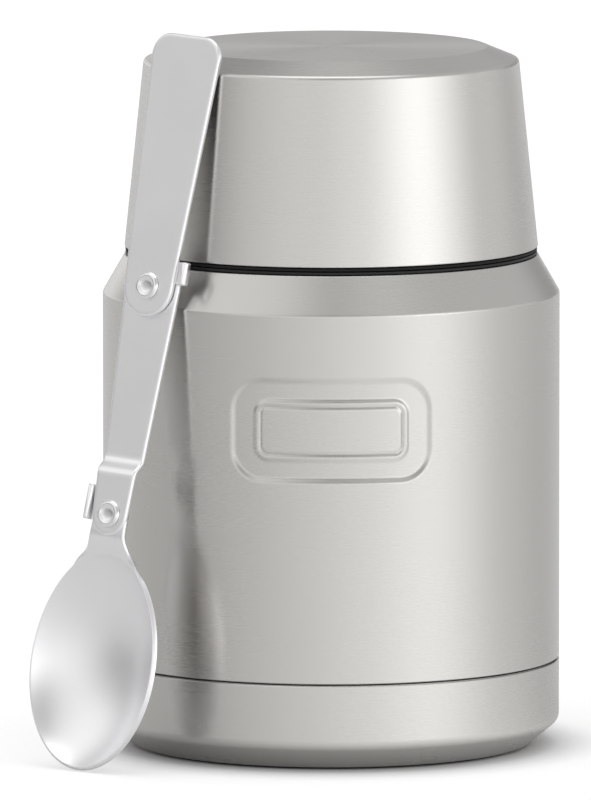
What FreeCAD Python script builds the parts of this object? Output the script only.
import FreeCAD, Part
import math
import os
import Sketcher

# Insulated food jar with a lid that doubles as a bowl, and its folding spoon.
# The origin is the centre of the jar's foot, +Z up, and the front looks along -Y.
# Every length is in millimetres.

os.makedirs("parts", exist_ok=True)
doc = FreeCAD.newDocument("FoodJar")
sheet = doc.addObject("Spreadsheet::Sheet", "Sizes")

SIZES = {
    # outer wall
    "body_r": 47.5,
    "body_wall": 0.6,
    "seam_z": 18.3,
    "seam_gap": 0.3,
    "seam_bevel": 0.2,
    "shoulder_z": 94.8,
    "ledge_in": 4.5,
    "ledge_rise": 7.8,
    "neck_in": 7.0,
    "neck_rise": 9.0,
    "shoulder_round": 1.2,
    # base
    "base_lap": 5.0,
    "base_lap_fit": 0.05,
    "foot_in": 5.9,
    "foot_edge_z": 0.5,
    "foot_slope_rise": 4.9,
    "foot_round": 2.5,
    "panel_z": 2.0,
    "port_r": 1.2,
    "bead_r": 3.0,
    "bead_thick": 1.0,
    "pad_fit": 0.1,
    "pad_rim": 1.0,
    # food liner
    "vacuum_gap": 3.5,
    "liner_wall": 0.5,
    "neck_vacuum": 1.5,
    "floor_z": 13.0,
    "floor_round": 9.0,
    "liner_shoulder_drop": 4.3,
    "liner_neck_drop": 3.6,
    "foil_wall": 0.12,
    "foil_fit": 0.1,
    "foil_low_rise": 13.0,
    "foil_high_drop": 2.5,
    "getter_r": 5.0,
    "getter_thick": 1.4,
    "getter_out": 22.0,
    # screw stopper
    "flange_in": 0.2,
    "flange_thick": 0.6,
    "flange_fit": 0.15,
    "skirt_fit": 2.2,
    "skirt_wall": 1.2,
    "skirt_taper_drop": 4.4,
    "stopper_crown_in": 0.5,
    "stopper_rise": 2.8,
    "stopper_plate": 1.4,
    "plug_top_fit": 0.5,
    "plug_foot_fit": 3.2,
    "plug_wall": 1.2,
    "plug_deep": 11.6,
    "hub_r": 6.2,
    "hub_bore_r": 4.3,
    "hub_rise": 7.0,
    "foam_drop": 3.2,
    "foam_fit": 0.1,
    "mouth_seal_thick": 0.7,
    "mouth_seal_fit": 0.3,
    # vent button
    "button_r": 14.6,
    "button_fit": 0.4,
    "button_proud": 1.2,
    "button_plate": 1.6,
    "button_round": 0.8,
    "stem_r": 2.6,
    "valve_r": 6.6,
    "valve_thick": 1.4,
    "valve_fit": 0.1,
    "spring_r": 5.2,
    "spring_wire": 0.6,
    "spring_turns": 3.5,
    "spring_fit": 0.1,
    # lid that doubles as a bowl
    "lid_gap": 1.7,
    "lid_draw": 4.0,
    "lid_tall": 38.9,
    "crown_in": 6.6,
    "crown_rise": 2.7,
    "lid_wall": 0.5,
    "lid_round": 1.2,
    "bowl_wall": 0.8,
    "bowl_fit": 0.1,
    "bowl_drop": 0.6,
    "bowl_round": 6.0,
    "lid_seal_thick": 0.6,
    "lid_seal_fit": 0.2,
    "lid_seal_wide": 1.4,
    # folding spoon, measured in the plane of its plates
    "plate": 1.2,
    "plate_gap": 0.2,
    "plate_edge": 0.25,
    "pivot_reach": 47.7,
    "pin_r": 1.5,
    "pin_fit": 0.05,
    "head_r": 2.85,
    "head_thick": 0.7,
    "head_dish": 0.35,
    "tail_r": 2.4,
    "tail_thick": 0.6,
    "link_foot_r": 4.45,
    "link_top_r": 7.0,
    "joggle_low": 9.0,
    "joggle_high": 11.4,
    "joggle_step": 1.8,
    "handle_foot_r": 6.3,
    "handle_top_half": 9.1,
    "handle_reach": 52.4,
    "handle_round": 4.5,
    "ear_thick": 1.5,
    "ear_rise": 0.4,
    "link_ear_low": 1.0,
    "link_ear_high": 5.8,
    "link_ear_out": 7.8,
    "bowl_ear_low": -1.8,
    "bowl_ear_high": 5.4,
    "bowl_ear_fit": 0.85,
    "neck_half": 4.4,
    "neck_reach": 6.6,
    "neck_bend_start": 4.6,
    "neck_bend_end": 8.2,
    "neck_drop": 1.75,
    "dish_half": 16.5,
    "dish_upper": 24.4,
    "dish_lower": 22.4,
    "dish_depth": 7.4,
    "dish_wall": 0.9,
    "dish_lip_angle": 30.0,
    "dish_droop": 2.4,
    # where the spoon stands and leans
    "spoon_lean": 12.3,
    "spoon_facing": 37.5,
    "spoon_slant": 4.1,
    "link_set": 1.8,
    "spoon_shift": -11.25,
    "spoon_foot_gap": 0.05,
    "spoon_rest_gap": 0.3,
}

for row, (alias, number) in enumerate(SIZES.items(), start=1):
    sheet.set(f"A{row}", alias)
    sheet.set(f"B{row}", str(number))
    sheet.setAlias(f"B{row}", alias)
doc.recompute()


class Size:
    # A size that knows both its formula in the sheet's names and its present value.
    def __init__(self, formula, value):
        self.formula = formula
        self.value = value

    def __add__(self, other):
        other = as_size(other)
        return Size(f"({self.formula} + {other.formula})", self.value + other.value)

    def __sub__(self, other):
        other = as_size(other)
        return Size(f"({self.formula} - {other.formula})", self.value - other.value)

    def __mul__(self, other):
        other = as_size(other)
        return Size(f"({self.formula} * {other.formula})", self.value * other.value)

    def __truediv__(self, other):
        other = as_size(other)
        return Size(f"({self.formula} / {other.formula})", self.value / other.value)

    def __neg__(self):
        return Size(f"(0 - {self.formula})", -self.value)


def as_size(number):
    return number if isinstance(number, Size) else Size(str(number), number)


def root(size):
    return Size(f"sqrt({size.formula})", math.sqrt(size.value))


S = {alias: Size(f"Sizes.{alias}", float(sheet.get(alias))) for alias in SIZES}
AXIS = Size("0", 0.0)


def bind(target, path, size):
    target.setExpression(path, as_size(size).formula)


def hold(sketch, geometry, point, direction, size):
    # Holds one coordinate of a point; on an axis it is held by the axis itself.
    if size.formula == "0":
        axis = -2 if direction == "DistanceX" else -1
        sketch.addConstraint(Sketcher.Constraint("PointOnObject", geometry, point, axis))
        return
    rule = Sketcher.Constraint(direction, -1, 1, geometry, point, size.value)
    index = sketch.addConstraint(rule)
    bind(sketch, f"Constraints[{index}]", size)


def new_sketch(body, name, role):
    sketch = body.newObject("Sketcher::SketchObject", name)
    planes = [item for item in body.Origin.OriginFeatures if item.Role == role]
    sketch.AttachmentSupport = [(planes[0], "")]
    sketch.MapMode = "FlatFace"
    return sketch


def add_arc(sketch, start, end, centre, turn):
    # turn is +1 for an arc that runs anticlockwise from start to end.
    first, last = (start, end) if turn > 0 else (end, start)
    cx, cy = centre[0].value, centre[1].value
    radius = math.hypot(first[0].value - cx, first[1].value - cy)
    begin = math.atan2(first[1].value - cy, first[0].value - cx)
    finish = math.atan2(last[1].value - cy, last[0].value - cx)
    circle = Part.Circle(FreeCAD.Vector(cx, cy, 0), FreeCAD.Vector(0, 0, 1), radius)
    return sketch.addGeometry(Part.ArcOfCircle(circle, begin, finish))


def draw(sketch, corners, arcs=None):
    # Draws a closed outline; arcs gives the centre and turn of each edge that is round.
    arcs = arcs or {}
    count = len(corners)
    ends = []
    for index, start in enumerate(corners):
        end = corners[(index + 1) % count]
        if index in arcs:
            centre, turn = arcs[index]
            geometry = add_arc(sketch, start, end, centre, turn)
            ends.append((geometry, (1, 2) if turn > 0 else (2, 1)))
        else:
            a = FreeCAD.Vector(start[0].value, start[1].value, 0)
            b = FreeCAD.Vector(end[0].value, end[1].value, 0)
            ends.append((sketch.addGeometry(Part.LineSegment(a, b)), (1, 2)))
    for index, (geometry, points) in enumerate(ends):
        after, after_points = ends[(index + 1) % count]
        joint = Sketcher.Constraint("Coincident", geometry, points[1], after, after_points[0])
        sketch.addConstraint(joint)
        hold(sketch, geometry, points[0], "DistanceX", corners[index][0])
        hold(sketch, geometry, points[0], "DistanceY", corners[index][1])
    for index, (centre, _turn) in arcs.items():
        start, end = corners[index], corners[(index + 1) % count]
        across = abs(end[0].value - start[0].value) > abs(end[1].value - start[1].value)
        side, direction = (1, "DistanceY") if across else (0, "DistanceX")
        hold(sketch, ends[index][0], 3, direction, centre[side])


def draw_hole(sketch, centre, radius):
    middle = FreeCAD.Vector(centre[0].value, centre[1].value, 0)
    circle = Part.Circle(middle, FreeCAD.Vector(0, 0, 1), radius.value)
    geometry = sketch.addGeometry(circle)
    index = sketch.addConstraint(Sketcher.Constraint("Radius", geometry, radius.value))
    bind(sketch, f"Constraints[{index}]", radius)
    hold(sketch, geometry, 3, "DistanceX", centre[0])
    hold(sketch, geometry, 3, "DistanceY", centre[1])


def new_body(name):
    body = doc.addObject("PartDesign::Body", name)
    body.Label = name
    return body


def turned(name, corners, arcs=None):
    # A piece turned about the jar's axis, from an outline of (radius, height) corners.
    body = new_body(name)
    sketch = new_sketch(body, name + "_profile", "XZ_Plane")
    draw(sketch, corners, arcs)
    turn = body.newObject("PartDesign::Revolution", name + "_turn")
    turn.Profile = sketch
    turn.ReferenceAxis = (sketch, ["V_Axis"])
    turn.Angle = 360
    sketch.Visibility = False
    doc.recompute()
    return body


def circle_edges(shape, places):
    # The edges that run round the jar's axis at the given (radius, height) places.
    names = []
    for number, edge in enumerate(shape.Edges, start=1):
        if not isinstance(edge.Curve, Part.Circle):
            continue
        for radius, height in places:
            near_r = abs(edge.Curve.Radius - radius.value) < 1e-3
            near_z = abs(edge.Curve.Center.z - height.value) < 1e-3
            if near_r and near_z:
                names.append(f"Edge{number}")
    return names


def rounded(body, radius, places):
    base = body.Tip
    names = circle_edges(base.Shape, places)
    if len(names) != len(places):
        raise ValueError(f"{body.Label}: {len(names)} of {len(places)} edges found to round")
    fillet = body.newObject("PartDesign::Fillet", body.Name + "_round")
    fillet.Base = (base, names)
    bind(fillet, "Radius", radius)
    doc.recompute()


# The jar: outer wall, base cup, food liner and what lies between them

ledge_r = S["body_r"] - S["ledge_in"]
ledge_z = S["shoulder_z"] + S["ledge_rise"]
neck_r = ledge_r - S["neck_in"]
mouth_z = ledge_z + S["neck_rise"]
cone_slope = S["ledge_in"] / S["ledge_rise"]
cone_wall = S["body_wall"] * root(cone_slope * cone_slope + 1)
wall_in_r = S["body_r"] - S["body_wall"]
ledge_under_z = ledge_z - S["body_wall"]
cone_in_r = ledge_r + cone_slope * S["body_wall"] - cone_wall
cone_in_z = S["shoulder_z"] - (cone_wall - S["body_wall"]) / cone_slope
neck_in_r = neck_r - S["body_wall"]
lip_z = mouth_z - S["liner_wall"]
seam_top = S["seam_z"] + S["seam_gap"] / 2
seam_low = S["seam_z"] - S["seam_gap"] / 2


def make_outer_shell():
    body = turned("outer_shell", [
        (S["body_r"] - S["seam_bevel"], seam_top),
        (S["body_r"], seam_top + S["seam_bevel"]),
        (S["body_r"], S["shoulder_z"]),
        (ledge_r, ledge_z),
        (neck_r, ledge_z),
        (neck_r, lip_z),
        (neck_in_r, lip_z),
        (neck_in_r, ledge_under_z),
        (cone_in_r, ledge_under_z),
        (wall_in_r, cone_in_z),
        (wall_in_r, seam_top),
    ])
    rounded(body, S["shoulder_round"], [(S["body_r"], S["shoulder_z"])])
    return body


lap_r = wall_in_r - S["base_lap_fit"]
foot_r = S["body_r"] - S["foot_in"]
foot_slope_z = S["foot_edge_z"] + S["foot_slope_rise"]
pad_seat_r = foot_r - S["pad_rim"]
foot_slope = S["foot_in"] / S["foot_slope_rise"]
foot_wall = S["body_wall"] * root(foot_slope * foot_slope + 1)
panel_top = S["panel_z"] + S["body_wall"]
foot_in_r = foot_r + foot_slope * (panel_top - S["foot_edge_z"]) - foot_wall


def make_base_cup():
    body = turned("base_cup", [
        (S["port_r"], S["panel_z"]),
        (pad_seat_r, S["panel_z"]),
        (pad_seat_r, S["foot_edge_z"]),
        (foot_r, S["foot_edge_z"]),
        (S["body_r"], foot_slope_z),
        (S["body_r"], seam_low - S["seam_bevel"]),
        (S["body_r"] - S["seam_bevel"], seam_low),
        (lap_r, seam_low),
        (lap_r, seam_low + S["base_lap"]),
        (lap_r - S["body_wall"], seam_low + S["base_lap"]),
        (lap_r - S["body_wall"], foot_slope_z + S["body_wall"]),
        (foot_in_r, panel_top),
        (S["port_r"], panel_top),
    ])
    rounded(body, S["foot_round"], [(S["body_r"], foot_slope_z)])
    return body


def make_vacuum_bead():
    shank_r = S["port_r"] - S["base_lap_fit"]
    return turned("vacuum_bead", [
        (AXIS, panel_top + S["bead_thick"]),
        (S["bead_r"] * 0.6, panel_top + S["bead_thick"]),
        (S["bead_r"], panel_top),
        (shank_r, panel_top),
        (shank_r, S["panel_z"] + S["pad_fit"]),
        (AXIS, S["panel_z"] + S["pad_fit"]),
    ])


def make_base_pad():
    pad_r = pad_seat_r - S["pad_fit"]
    return turned("base_pad", [
        (AXIS, AXIS),
        (pad_r, AXIS),
        (pad_r, S["panel_z"] - S["pad_fit"]),
        (AXIS, S["panel_z"] - S["pad_fit"]),
    ])


liner_r = wall_in_r - S["vacuum_gap"]
liner_shoulder_z = S["shoulder_z"] - S["liner_shoulder_drop"]
liner_neck_z = ledge_z - S["liner_neck_drop"]
liner_neck_r = neck_in_r - S["neck_vacuum"]
bore_r = liner_neck_r - S["liner_wall"]
liner_slope = (liner_r - liner_neck_r) / (liner_neck_z - liner_shoulder_z)
liner_cone_wall = S["liner_wall"] * root(liner_slope * liner_slope + 1)
liner_in_r = liner_r - S["liner_wall"]
liner_shift = (liner_cone_wall - S["liner_wall"]) / liner_slope
floor_under_z = S["floor_z"] - S["liner_wall"]


def make_inner_liner():
    body = turned("inner_liner", [
        (AXIS, floor_under_z),
        (liner_r, floor_under_z),
        (liner_r, liner_shoulder_z),
        (liner_neck_r, liner_neck_z),
        (liner_neck_r, lip_z),
        (neck_r, lip_z),
        (neck_r, mouth_z),
        (bore_r, mouth_z),
        (bore_r, liner_neck_z - liner_shift),
        (liner_in_r, liner_shoulder_z - liner_shift),
        (liner_in_r, S["floor_z"]),
        (AXIS, S["floor_z"]),
    ])
    rounded(body, S["floor_round"] + S["liner_wall"], [(liner_r, floor_under_z)])
    rounded(body, S["floor_round"], [(liner_in_r, S["floor_z"])])
    return body


def make_foil_wrap():
    foil_in_r = liner_r + S["foil_fit"]
    foil_out_r = foil_in_r + S["foil_wall"]
    foil_low_z = S["floor_z"] + S["foil_low_rise"]
    foil_high_z = liner_shoulder_z - S["foil_high_drop"]
    return turned("foil_wrap", [
        (foil_in_r, foil_low_z),
        (foil_out_r, foil_low_z),
        (foil_out_r, foil_high_z),
        (foil_in_r, foil_high_z),
    ])


def make_getter():
    pellet = doc.addObject("Part::Cylinder", "getter")
    pellet.Label = "getter"
    bind(pellet, "Radius", S["getter_r"])
    bind(pellet, "Height", S["getter_thick"])
    bind(pellet, "Placement.Base.x", S["getter_out"])
    bind(pellet, "Placement.Base.z", panel_top)
    return pellet


# The screw stopper: cap, plug, foam, mouth seal, and its vent button with valve and spring

flange_r = ledge_r - S["flange_in"]
flange_low = ledge_z + S["flange_fit"]
flange_top = flange_low + S["flange_thick"]
skirt_in_r = neck_r + S["skirt_fit"]
skirt_r = skirt_in_r + S["skirt_wall"]
stopper_crown_r = skirt_r - S["stopper_crown_in"]
stopper_top_z = mouth_z + S["stopper_rise"]
skirt_taper_z = stopper_top_z - S["skirt_taper_drop"]
plate_under = stopper_top_z - S["stopper_plate"]
button_hole_r = S["button_r"] + S["button_fit"]
plug_top_r = bore_r - S["plug_top_fit"]
plug_foot_r = bore_r - S["plug_foot_fit"]
plug_z = mouth_z - S["plug_deep"]
plug_floor = plug_z + S["plug_wall"]
hub_top_z = plug_z + S["hub_rise"]
plug_slope = (plug_top_r - plug_foot_r) / (plate_under - plug_z)


def make_stopper_body():
    return turned("stopper_body", [
        (skirt_in_r, flange_low),
        (flange_r, flange_low),
        (flange_r, flange_top),
        (skirt_r, flange_top),
        (skirt_r, skirt_taper_z),
        (stopper_crown_r, stopper_top_z),
        (button_hole_r, stopper_top_z),
        (button_hole_r, plate_under),
        (skirt_in_r, plate_under),
    ])


def make_stopper_plug():
    inner_top_r = plug_top_r - S["plug_wall"]
    inner_foot_r = plug_foot_r + plug_slope * S["plug_wall"] - S["plug_wall"]
    return turned("stopper_plug", [
        (S["hub_bore_r"], plug_z),
        (plug_foot_r, plug_z),
        (plug_top_r, plate_under),
        (inner_top_r, plate_under),
        (inner_foot_r, plug_floor),
        (S["hub_r"], plug_floor),
        (S["hub_r"], hub_top_z),
        (S["hub_bore_r"], hub_top_z),
    ])


def make_plug_insulation():
    foot_z = plug_floor + S["foam_fit"]
    wall = S["plug_wall"] + S["foam_fit"]
    foot_out_r = plug_foot_r + plug_slope * (foot_z - plug_z) - wall
    foam_top_z = plate_under - S["foam_drop"]
    top_out_r = plug_foot_r + plug_slope * (foam_top_z - plug_z) - wall
    hub_side_r = S["hub_r"] + S["foam_fit"]
    step_r = S["button_r"] + S["button_fit"]
    low_top_z = hub_top_z - S["foam_fit"]
    return turned("plug_insulation", [
        (hub_side_r, foot_z),
        (foot_out_r, foot_z),
        (top_out_r, foam_top_z),
        (step_r, foam_top_z),
        (step_r, low_top_z),
        (hub_side_r, low_top_z),
    ])


def make_stopper_seal():
    low = mouth_z + S["mouth_seal_fit"]
    inner_r = plug_top_r + S["mouth_seal_fit"]
    return turned("stopper_seal", [
        (inner_r, low),
        (neck_r, low),
        (neck_r, low + S["mouth_seal_thick"]),
        (inner_r, low + S["mouth_seal_thick"]),
    ])


button_top = stopper_top_z + S["button_proud"]
button_under = button_top - S["button_plate"]
valve_top = plug_z - S["valve_fit"]


def make_release_button():
    body = turned("release_button", [
        (AXIS, valve_top - S["valve_thick"] / 2),
        (S["stem_r"], valve_top - S["valve_thick"] / 2),
        (S["stem_r"], button_under),
        (S["button_r"], button_under),
        (S["button_r"], button_top),
        (AXIS, button_top),
    ])
    rounded(body, S["button_round"], [(S["button_r"], button_top)])
    return body


def make_vent_valve():
    # A soft disc clipped over the stem's end, which shuts the vent from below.
    grip_r = S["stem_r"] + S["pin_fit"]
    cup_z = valve_top - S["valve_thick"] / 2 - S["valve_fit"]
    foot_z = valve_top - S["valve_thick"] * 1.5
    return turned("vent_valve", [
        (grip_r, valve_top),
        (S["valve_r"], valve_top),
        (S["valve_r"], valve_top - S["valve_thick"] / 2),
        (grip_r + S["valve_thick"], foot_z),
        (AXIS, foot_z),
        (AXIS, cup_z),
        (grip_r, cup_z),
    ])


def make_button_spring():
    # An open coil round the stem, between the hub and the button.
    body = new_body("button_spring")
    sketch = new_sketch(body, "spring_section", "XZ_Plane")
    wire_r = S["spring_wire"] / 2
    low = hub_top_z + S["spring_fit"] + wire_r
    high = button_under - S["spring_fit"] - wire_r
    draw_hole(sketch, (S["spring_r"], low), wire_r)
    coil = body.newObject("PartDesign::AdditiveHelix", "spring_coil")
    coil.Profile = sketch
    coil.ReferenceAxis = (sketch, ["V_Axis"])
    coil.Mode = "height-turns-angle"
    bind(coil, "Height", high - low)
    bind(coil, "Turns", S["spring_turns"])
    coil.Reversed = False
    sketch.Visibility = False
    doc.recompute()
    return body


# The lid: steel outside, moulded bowl inside, and the seal under its rim

lid_low = ledge_z + S["lid_gap"]
lid_rim_r = ledge_r
lid_crown_r = lid_rim_r - S["lid_draw"]
lid_crown_z = lid_low + S["lid_tall"]
lid_disc_r = lid_crown_r - S["crown_in"]
lid_top_z = lid_crown_z + S["crown_rise"]
lid_slope = S["lid_draw"] / S["lid_tall"]
lid_side_wall = S["lid_wall"] * root(lid_slope * lid_slope + 1)
crown_slope = S["crown_in"] / S["crown_rise"]
crown_fall = S["lid_wall"] * root(crown_slope * crown_slope + 1) / crown_slope
lid_under_z = lid_top_z - S["lid_wall"]
disc_in_r = lid_disc_r + crown_slope * (S["lid_wall"] - crown_fall)
corner_drop = crown_fall - lid_side_wall / crown_slope
corner_z = lid_crown_z - corner_drop / (Size("1", 1.0) - lid_slope / crown_slope)
corner_in_r = lid_rim_r - lid_slope * (corner_z - lid_low) - lid_side_wall


def make_lid_shell():
    body = turned("lid_shell", [
        (lid_rim_r, lid_low),
        (lid_crown_r, lid_crown_z),
        (lid_disc_r, lid_top_z),
        (AXIS, lid_top_z),
        (AXIS, lid_under_z),
        (disc_in_r, lid_under_z),
        (corner_in_r, corner_z),
        (lid_rim_r - lid_side_wall, lid_low),
    ])
    rounded(body, S["lid_round"], [(lid_crown_r, lid_crown_z)])
    return body


bowl_rim_r = lid_rim_r - lid_side_wall - S["bowl_fit"]
bowl_mouth_r = bowl_rim_r - S["bowl_wall"]


def make_lid_liner():
    bowl_deep_z = lid_crown_z - S["bowl_drop"]
    under = bowl_deep_z - S["bowl_wall"]
    out_r = bowl_rim_r - lid_slope * (bowl_deep_z - lid_low)
    in_r = bowl_mouth_r - lid_slope * (under - lid_low)
    body = turned("lid_liner", [
        (bowl_mouth_r, lid_low),
        (bowl_rim_r, lid_low),
        (out_r, bowl_deep_z),
        (AXIS, bowl_deep_z),
        (AXIS, under),
        (in_r, under),
    ])
    rounded(body, S["bowl_round"] + S["bowl_wall"], [(out_r, bowl_deep_z)])
    rounded(body, S["bowl_round"], [(in_r, under)])
    return body


def make_lid_seal():
    high = lid_low - S["lid_seal_fit"]
    low = high - S["lid_seal_thick"]
    inner_r = flange_r - S["lid_seal_wide"]
    return turned("lid_seal", [
        (inner_r, low),
        (flange_r, low),
        (flange_r, high),
        (inner_r, high),
    ])


# The spoon: bowl, link and handle, cut from plate and joined by two rivets.
# In its own frame X runs across it, Y up its length from the lower pivot, Z out of its face.

link_back = S["plate"] + S["plate_gap"] - S["joggle_step"]
link_foot_back = S["plate"] + S["plate_gap"]
handle_back = link_back + S["plate"] + S["plate_gap"]
hole_r = S["pin_r"] + S["pin_fit"]
LOWER_PIVOT = (AXIS, AXIS)
UPPER_PIVOT = (AXIS, S["pivot_reach"])


def upright_edges(shape, places):
    names = []
    for number, edge in enumerate(shape.Edges, start=1):
        ends = [vertex.Point for vertex in edge.Vertexes]
        if len(ends) != 2 or abs(ends[0].z - ends[1].z) < 1e-3:
            continue
        for across, along in places:
            near_x = abs(ends[0].x - across.value) < 1e-3 and abs(ends[1].x - across.value) < 1e-3
            near_y = abs(ends[0].y - along.value) < 1e-3 and abs(ends[1].y - along.value) < 1e-3
            if near_x and near_y:
                names.append(f"Edge{number}")
    return names


def face_rims(shape, low, high):
    # The edges round a plate's front and back faces.
    names = []
    for number, edge in enumerate(shape.Edges, start=1):
        heights = [vertex.Point.z for vertex in edge.Vertexes]
        for level in (low.value, high.value):
            if all(abs(height - level) < 1e-3 for height in heights):
                names.append(f"Edge{number}")
    return names


def make_spoon_handle():
    body = new_body("spoon_handle")
    sketch = new_sketch(body, "handle_outline", "XY_Plane")
    sketch.AttachmentOffset = FreeCAD.Placement(FreeCAD.Vector(0, 0, handle_back.value),
                                                FreeCAD.Rotation())
    bind(sketch, "AttachmentOffset.Base.z", handle_back)
    foot_r, top_half = S["handle_foot_r"], S["handle_top_half"]
    top = S["pivot_reach"] + S["handle_reach"]
    corners = [(-foot_r, S["pivot_reach"]), (foot_r, S["pivot_reach"]),
               (top_half, top), (-top_half, top)]
    draw(sketch, corners, {0: (UPPER_PIVOT, 1)})
    draw_hole(sketch, UPPER_PIVOT, hole_r)
    pad = body.newObject("PartDesign::Pad", "handle_plate")
    pad.Profile = sketch
    bind(pad, "Length", S["plate"])
    sketch.Visibility = False
    doc.recompute()
    corner_round = body.newObject("PartDesign::Fillet", "handle_corners")
    corner_round.Base = (pad, upright_edges(pad.Shape, corners[2:]))
    bind(corner_round, "Radius", S["handle_round"])
    doc.recompute()
    rims = face_rims(corner_round.Shape, handle_back, handle_back + S["plate"])
    edge_round = body.newObject("PartDesign::Fillet", "handle_edges")
    edge_round.Base = (corner_round, rims)
    bind(edge_round, "Radius", S["plate_edge"])
    doc.recompute()
    return body


def plate_block(name, across, along, out, spans):
    # A square-edged block between (low, high) spans across, along and out of the plates.
    block = doc.addObject("Part::Box", name)
    for axis, start in zip("xyz", (across, along, out)):
        bind(block, f"Placement.Base.{axis}", start)
    for side, span in zip(("Length", "Width", "Height"), spans):
        bind(block, side, span)
    return block


def make_link_bend():
    # The link's edge-on section: its foot steps forward over the bowl's neck.
    body = new_body("link_bend")
    sketch = new_sketch(body, "link_section", "YZ_Plane")
    foot = -S["link_foot_r"] - S["plate"]
    top = S["pivot_reach"] + S["link_top_r"] + S["plate"]
    link_front = link_back + S["plate"]
    foot_front = link_foot_back + S["plate"]
    draw(sketch, [
        (foot, link_foot_back),
        (S["joggle_low"], link_foot_back),
        (S["joggle_high"], link_back),
        (top, link_back),
        (top, link_front),
        (S["joggle_high"], link_front),
        (S["joggle_low"], foot_front),
        (foot, foot_front),
    ])
    pad = body.newObject("PartDesign::Pad", "link_strip")
    pad.Profile = sketch
    pad.Midplane = True
    bind(pad, "Length", S["link_top_r"] * 2 + S["plate"])
    sketch.Visibility = False
    return body


def make_link_plan():
    # The link's face-on outline, with a hole at each pivot.
    body = new_body("link_plan")
    sketch = new_sketch(body, "link_outline", "XY_Plane")
    foot_r, top_r = S["link_foot_r"], S["link_top_r"]
    corners = [(-foot_r, AXIS), (foot_r, AXIS), (top_r, S["pivot_reach"]),
               (-top_r, S["pivot_reach"])]
    draw(sketch, corners, {0: (LOWER_PIVOT, 1), 2: (UPPER_PIVOT, 1)})
    draw_hole(sketch, LOWER_PIVOT, hole_r)
    draw_hole(sketch, UPPER_PIVOT, hole_r)
    pad = body.newObject("PartDesign::Pad", "link_column")
    pad.Profile = sketch
    pad.Midplane = True
    bind(pad, "Length", (S["plate"] + S["joggle_step"] + S["plate_gap"]) * 4)
    sketch.Visibility = False
    return body


def make_spoon_link():
    plate = doc.addObject("Part::Common", "link_plate")
    plate.Base = make_link_bend()
    plate.Tool = make_link_plan()
    ear_high = S["link_ear_high"] - S["link_ear_low"]
    ear_low = S["pivot_reach"] + S["link_ear_low"]
    arm_start = S["link_top_r"] * 0.6
    arm_long = S["link_ear_out"] + S["ear_thick"] - arm_start
    arm = plate_block("link_arm", arm_start, ear_low, link_back,
                      (arm_long, ear_high, S["plate"]))
    ear_tall = S["plate"] * 2 + S["plate_gap"] + S["ear_rise"]
    ear = plate_block("link_ear", S["link_ear_out"], ear_low, link_back,
                      (S["ear_thick"], ear_high, ear_tall))
    link = doc.addObject("Part::MultiFuse", "spoon_link")
    link.Label = "spoon_link"
    link.Shapes = [plate, arm, ear]
    link.Refine = True
    doc.recompute()
    return link


def rivet(name, centre, back, front):
    # A rivet with its axis out of the plates: flat tail behind, dished head in front.
    body = new_body(name)
    sketch = new_sketch(body, name + "_profile", "YZ_Plane")
    y = centre[1]
    head_low = front + S["pin_fit"]
    head_top = head_low + S["head_thick"]
    draw(sketch, [
        (y, back - S["tail_thick"]),
        (y + S["tail_r"], back - S["tail_thick"]),
        (y + S["tail_r"], back),
        (y + S["pin_r"], back),
        (y + S["pin_r"], head_low),
        (y + S["head_r"], head_low),
        (y + S["head_r"] * 0.8, head_top),
        (y + S["head_r"] * 0.5, head_top),
        (y, head_top - S["head_dish"]),
    ])
    axis = new_sketch(body, name + "_axis", "YZ_Plane")
    line = Part.LineSegment(FreeCAD.Vector(y.value, 0, 0), FreeCAD.Vector(y.value, 10, 0))
    axis.addGeometry(line)
    axis.addConstraint(Sketcher.Constraint("Vertical", 0))
    hold(axis, 0, 1, "DistanceX", y)
    hold(axis, 0, 1, "DistanceY", AXIS)
    axis.addConstraint(Sketcher.Constraint("DistanceY", 0, 1, 0, 2, 10.0))
    turn = body.newObject("PartDesign::Revolution", name + "_turn")
    turn.Profile = sketch
    turn.ReferenceAxis = (axis, ["Edge1"])
    turn.Angle = 360
    sketch.Visibility = False
    axis.Visibility = False
    doc.recompute()
    return body


lip_turn = math.radians(S["dish_lip_angle"].value)
lip_cos = Size("cos(Sizes.dish_lip_angle * 1deg)", math.cos(lip_turn))
lip_sin = Size("sin(Sizes.dish_lip_angle * 1deg)", math.sin(lip_turn))


def half_dish(name, inset, rise, along, upper):
    # Half of the dish, cut from an ellipsoid above or below its widest line.
    # The lip angle says how far up the ellipsoid's side the rim is cut.
    half = doc.addObject("Part::Ellipsoid", name)
    bind(half, "Radius1", S["dish_depth"] / (Size("1", 1.0) - lip_sin) - inset)
    bind(half, "Radius2", S["dish_half"] / lip_cos - inset)
    bind(half, "Radius3", along / lip_cos - inset)
    half.Angle1 = -90
    half.Angle2 = rise
    half.Angle3 = 180
    turn = 0 if upper else 180
    half.Placement = FreeCAD.Placement(FreeCAD.Vector(0, 0, 0),
                                       FreeCAD.Rotation(FreeCAD.Vector(0, 0, 1), turn))
    return half


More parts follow.
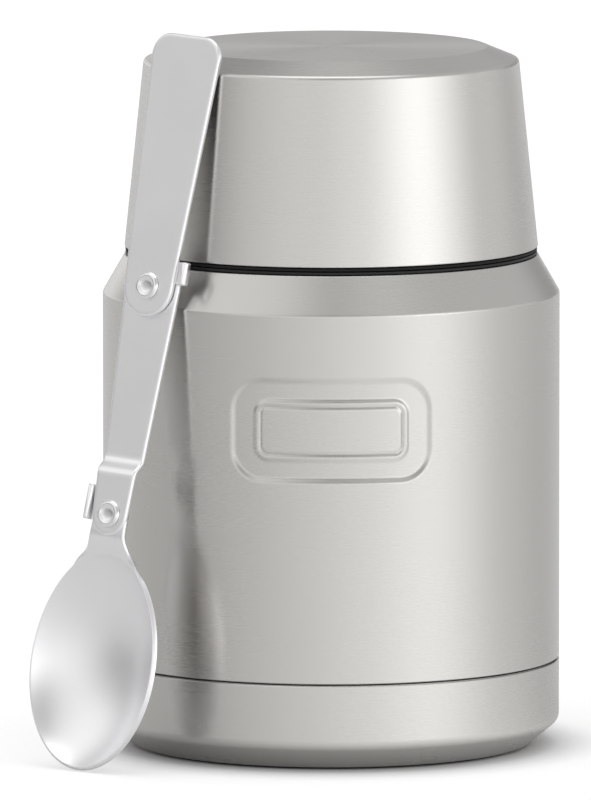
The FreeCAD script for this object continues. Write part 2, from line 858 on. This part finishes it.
def make_neck(rim_front):
    # The strip from the lower pivot to the dish, bent back so the link folds over the rim.
    bend = new_body("neck_bend")
    section = new_sketch(bend, "neck_section", "YZ_Plane")
    top = S["neck_half"] + S["plate"]
    flare_y = -(S["neck_reach"] + S["dish_upper"] * 0.17)
    foot = flare_y - S["plate"]
    draw(section, [
        (top, AXIS),
        (top, S["plate"]),
        (-S["neck_bend_start"], S["plate"]),
        (-S["neck_bend_end"], rim_front),
        (foot, rim_front),
        (foot, rim_front - S["plate"]),
        (-S["neck_bend_end"], rim_front - S["plate"]),
        (-S["neck_bend_start"], AXIS),
    ])
    strip = bend.newObject("PartDesign::Pad", "neck_strip")
    strip.Profile = section
    strip.Midplane = True
    bind(strip, "Length", S["dish_half"] * 2)
    plan = new_body("neck_plan")
    sketch = new_sketch(plan, "neck_outline", "XY_Plane")
    half = S["neck_half"]
    flare = S["dish_half"] * 0.55
    draw(sketch, [
        (flare, flare_y),
        (half, -S["neck_reach"]),
        (half, AXIS),
        (-half, AXIS),
        (-half, -S["neck_reach"]),
        (-flare, flare_y),
    ], {2: (LOWER_PIVOT, 1)})
    draw_hole(sketch, LOWER_PIVOT, hole_r)
    column = plan.newObject("PartDesign::Pad", "neck_column")
    column.Profile = sketch
    column.Midplane = True
    bind(column, "Length", (S["plate"] + S["neck_drop"]) * 4)
    section.Visibility = False
    sketch.Visibility = False
    neck = doc.addObject("Part::Common", "neck_plate")
    neck.Base = bend
    neck.Tool = plan
    return neck


def make_spoon_bowl():
    centre_lift = S["dish_depth"] / (Size("1", 1.0) - lip_sin) * lip_sin
    outer = doc.addObject("Part::MultiFuse", "dish_outside")
    outer.Shapes = [half_dish("dish_outside_upper", AXIS, -S["dish_lip_angle"].value,
                              S["dish_upper"], True),
                    half_dish("dish_outside_lower", AXIS, -S["dish_lip_angle"].value,
                              S["dish_lower"], False)]
    inner = doc.addObject("Part::MultiFuse", "dish_inside")
    inner.Shapes = [half_dish("dish_inside_upper", S["dish_wall"], 0, S["dish_upper"], True),
                    half_dish("dish_inside_lower", S["dish_wall"], 0, S["dish_lower"], False)]
    rim_front = S["plate"] - S["neck_drop"]
    along = -S["dish_upper"].value
    droop = FreeCAD.Rotation(FreeCAD.Vector(1, 0, 0), S["dish_droop"].value)
    hinge = FreeCAD.Vector(0, -S["neck_reach"].value, rim_front.value)
    offset = droop.multVec(FreeCAD.Vector(0, along, centre_lift.value))
    for piece in (outer, inner):
        piece.Placement = FreeCAD.Placement(hinge + offset, droop)
    neck = make_neck(rim_front)
    half = S["neck_half"]
    ear_in = S["link_foot_r"] + S["bowl_ear_fit"]
    ear_high = S["bowl_ear_high"] - S["bowl_ear_low"]
    ear_tall = S["plate"] * 2 + S["plate_gap"] + S["ear_rise"]
    arm = plate_block("bowl_arm", -(ear_in + S["plate"]), S["bowl_ear_low"], AXIS,
                      (ear_in + S["plate"] - half * 0.6, ear_high, S["plate"]))
    ear = plate_block("bowl_ear", -(ear_in + S["plate"]), S["bowl_ear_low"], AXIS,
                      (S["plate"], ear_high, ear_tall))
    blank = doc.addObject("Part::MultiFuse", "bowl_blank")
    blank.Shapes = [outer, neck, arm, ear]
    bowl = doc.addObject("Part::Cut", "spoon_bowl")
    bowl.Label = "spoon_bowl"
    bowl.Base = blank
    bowl.Tool = inner
    bowl.Refine = True
    doc.recompute()
    return bowl


def stand_spoon(foot, shaft):
    # Stands the spoon on its tip and leans it on the lid's top edge, clear of the shoulder.
    # The foot pieces keep the bowl's slant, and the shaft is turned back from it a little.
    lean = math.radians(S["spoon_lean"].value)
    face = math.radians(S["spoon_facing"].value)
    out = FreeCAD.Vector(-math.sin(face), -math.cos(face), 0)
    across = FreeCAD.Vector(math.cos(face), -math.sin(face), 0)
    up = FreeCAD.Vector(0, 0, 1)
    normal = out * math.cos(lean) + up * math.sin(lean)
    along = up * math.cos(lean) - out * math.sin(lean)
    turn = FreeCAD.Rotation(across, along, normal, "ZXY")
    slant = FreeCAD.Rotation(FreeCAD.Vector(0, 0, 1), -S["spoon_slant"].value)
    pose = turn.multiply(slant)

    def reach(radius, height, depth):
        edge = math.cos(lean) * radius.value + math.sin(lean) * height.value
        return edge + S["spoon_rest_gap"].value - depth.value

    plane = max(reach(lid_crown_r, lid_crown_z, handle_back),
                reach(S["body_r"], S["shoulder_z"], link_back - S["tail_thick"]))
    bowl = foot[0]
    bowl.Placement = FreeCAD.Placement(FreeCAD.Vector(0, 0, 0), pose)
    low = min(corner.z for corner in bowl.Shape.tessellate(0.02)[0])
    height = S["spoon_foot_gap"].value - low
    distance = (plane - math.sin(lean) * height) / math.cos(lean)
    place = out * distance + across * S["spoon_shift"].value + up * height
    shaft_turn = FreeCAD.Rotation(FreeCAD.Vector(0, 0, 1), S["link_set"].value)
    for piece in foot:
        piece.Placement = FreeCAD.Placement(place, pose)
    for piece in shaft:
        piece.Placement = FreeCAD.Placement(place, pose.multiply(shaft_turn))
    doc.recompute()
    return place, normal


jar = [make_outer_shell(), make_base_cup(), make_vacuum_bead(), make_base_pad(),
       make_inner_liner(), make_foil_wrap(), make_getter()]
stopper = [make_stopper_body(), make_stopper_plug(), make_plug_insulation(),
           make_stopper_seal(), make_release_button(), make_vent_valve(),
           make_button_spring()]
lid = [make_lid_shell(), make_lid_liner(), make_lid_seal()]
bowl_pieces = [make_spoon_bowl(),
               rivet("link_rivet", LOWER_PIVOT, AXIS, link_foot_back + S["plate"])]
shaft_pieces = [make_spoon_link(), make_spoon_handle(),
                rivet("handle_rivet", UPPER_PIVOT, link_back, handle_back + S["plate"])]
pivot, facing = stand_spoon(bowl_pieces, shaft_pieces)
upper = shaft_pieces[0].Placement.multVec(FreeCAD.Vector(0, S["pivot_reach"].value, 0))
print("lower pivot", [round(value, 4) for value in pivot])
print("upper pivot", [round(value, 4) for value in upper])
print("plate normal", [round(value, 6) for value in facing])

pieces = jar + stopper + lid + bowl_pieces + shaft_pieces
doc.recompute()
for item in doc.Objects:
    if "Invalid" in item.State or "Error" in item.State:
        raise ValueError(f"{item.Name} did not build: {item.State}")
for piece in pieces:
    shape = piece.Shape
    if shape.isNull() or not shape.isValid() or len(shape.Solids) != 1:
        raise ValueError(f"{piece.Label} is not one sound solid")
for piece in pieces:
    piece.Shape.exportStep(f"parts/{piece.Label}.step")
    print(piece.Label, round(piece.Shape.Volume, 1), "mm3")
